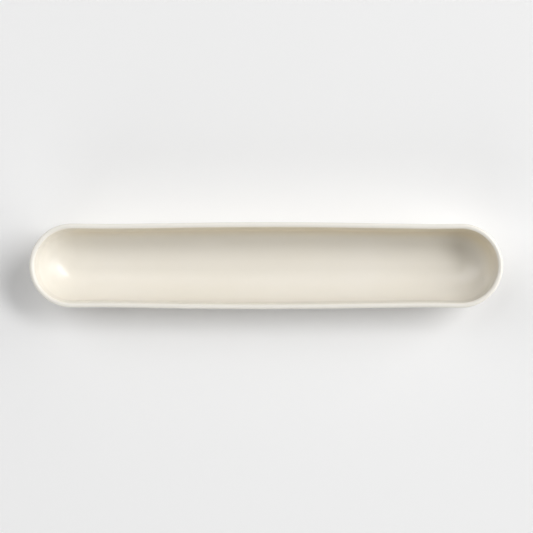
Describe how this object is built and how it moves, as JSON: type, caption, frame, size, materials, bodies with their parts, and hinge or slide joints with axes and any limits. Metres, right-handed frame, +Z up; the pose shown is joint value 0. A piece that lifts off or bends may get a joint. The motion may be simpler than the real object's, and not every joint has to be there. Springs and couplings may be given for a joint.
{
  "type": "olive dish",
  "caption": "Long, narrow olive dish of cream-glazed stoneware: a trough with round ends, a thin rounded rim and a low bare foot ring.",
  "frame": {"origin": "on the table under the middle of the dish, in the plane that the foot ring stands on", "axes": "+X along the dish, +Y across it to the far side of the picture, +Z up"},
  "size_m": [0.33, 0.0604, 0.038],
  "materials": {
    "bare_stoneware": "matte",
    "cream_glaze_inside": "gloss",
    "cream_glaze_outside": "gloss",
    "cream_glaze_underside": "gloss"
  },
  "bodies": {
    "root": {"stoneware_body": "bare_stoneware", "inside_glaze": "cream_glaze_inside", "outside_glaze": "cream_glaze_outside", "underside_glaze": "cream_glaze_underside"}
  },
  "joints": []
}
